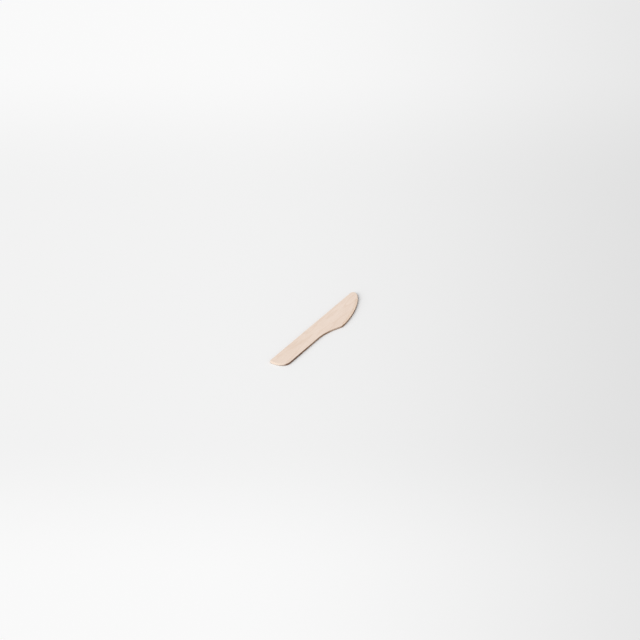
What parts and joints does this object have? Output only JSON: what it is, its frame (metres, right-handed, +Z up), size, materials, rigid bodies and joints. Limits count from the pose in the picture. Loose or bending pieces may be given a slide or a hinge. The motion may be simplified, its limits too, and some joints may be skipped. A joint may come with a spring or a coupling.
{
  "type": "wooden knife",
  "caption": "Flat wooden table knife of glued birch veneers, with a straight spine, a handle that swells to the blade, a milled toothed edge and a rounded tip, for cutting and spreading food.",
  "frame": {"origin": "centre of the knife's box, on the surface that its underside lies on", "axes": "+X from the butt to the tip, +Y towards the straight spine, +Z up out of the toothed face"},
  "size_m": [0.16, 0.0264, 0.0022],
  "materials": {
    "outer_birch": "bare rotary-cut birch, tumbled smooth, grain along the knife",
    "core_birch": "bare rotary-cut birch, grain across the knife, so its edges along the knife are end grain, browned by the cut",
    "cured_glue": "thin cured film of wood glue, dark brown, satin"
  },
  "bodies": {
    "root": {"face_veneer": "outer_birch", "upper_glue_line": "cured_glue", "core_veneer": "core_birch", "lower_glue_line": "cured_glue", "back_veneer": "outer_birch"}
  },
  "joints": []
}
